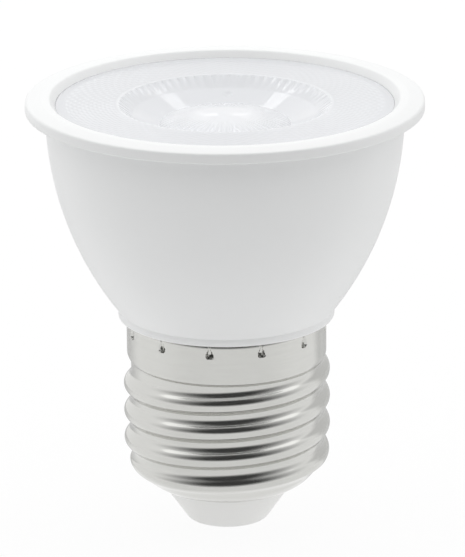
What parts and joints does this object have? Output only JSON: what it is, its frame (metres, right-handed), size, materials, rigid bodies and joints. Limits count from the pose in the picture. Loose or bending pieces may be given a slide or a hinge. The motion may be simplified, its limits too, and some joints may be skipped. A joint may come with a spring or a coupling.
{
  "type": "led spotlight bulb",
  "caption": "Reflector-shaped LED spotlight bulb with a white plastic body, a clear collimator lens in a flat rim and a right-hand Edison screw cap.",
  "frame": {"origin": "centre of the end face of the centre contact, on the lamp's axis", "axes": "+Z along the lamp's axis from the cap towards the lens, the way the light leaves; -Y towards the camera of the picture; +X to its right"},
  "size_m": [0.05, 0.05, 0.056],
  "materials": {
    "white_body": "satin moulded plastic",
    "clear_lens": "clear moulded acrylic",
    "nickel_shell": "bright nickel plating",
    "white_insulator": "smooth moulded plastic",
    "contact_metal": "tinned brass",
    "sink_aluminium": "plain drawn sheet",
    "grey_pad": "soft silicone pad",
    "white_board": "white solder mask on an aluminium core",
    "white_dam": "white silicone",
    "yellow_phosphor": "phosphor in clear silicone",
    "screw_steel": "zinc plated",
    "red_wire": "wire insulation",
    "black_wire": "wire insulation",
    "white_wire": "wire insulation",
    "tinned_copper": "tinned bare wire",
    "board_laminate": "green solder mask on glass laminate",
    "capacitor_sleeve": "shrunk sleeve",
    "ferrite": "sintered ferrite",
    "copper_winding": "enamelled copper wire",
    "chip_moulding": "moulded epoxy",
    "chip_ceramic": "glazed chip",
    "resistor_coat": "flameproof coat",
    "blue_epoxy": "dipped epoxy"
  },
  "bodies": {
    "root": {"housing": "white_body", "lens": "clear_lens", "heat_sink": "sink_aluminium", "thermal_pad": "grey_pad", "led_board": "white_board", "led_dam": "white_dam", "led_phosphor": "yellow_phosphor", "board_screws": "screw_steel", "led_wire_positive": "red_wire", "led_wire_negative": "black_wire", "driver_board": "board_laminate", "input_capacitor": "capacitor_sleeve", "output_capacitor": "capacitor_sleeve", "inductor_core": "ferrite", "inductor_winding": "copper_winding", "bridge_rectifier": "chip_moulding", "driver_chip": "chip_moulding", "chip_resistors": "chip_ceramic", "fuse_resistor": "resistor_coat", "varistor": "blue_epoxy", "live_lead": "white_wire", "neutral_lead": "tinned_copper", "screw_shell": "nickel_shell", "base_insulator": "white_insulator", "contact_pin": "contact_metal"}
  },
  "joints": []
}
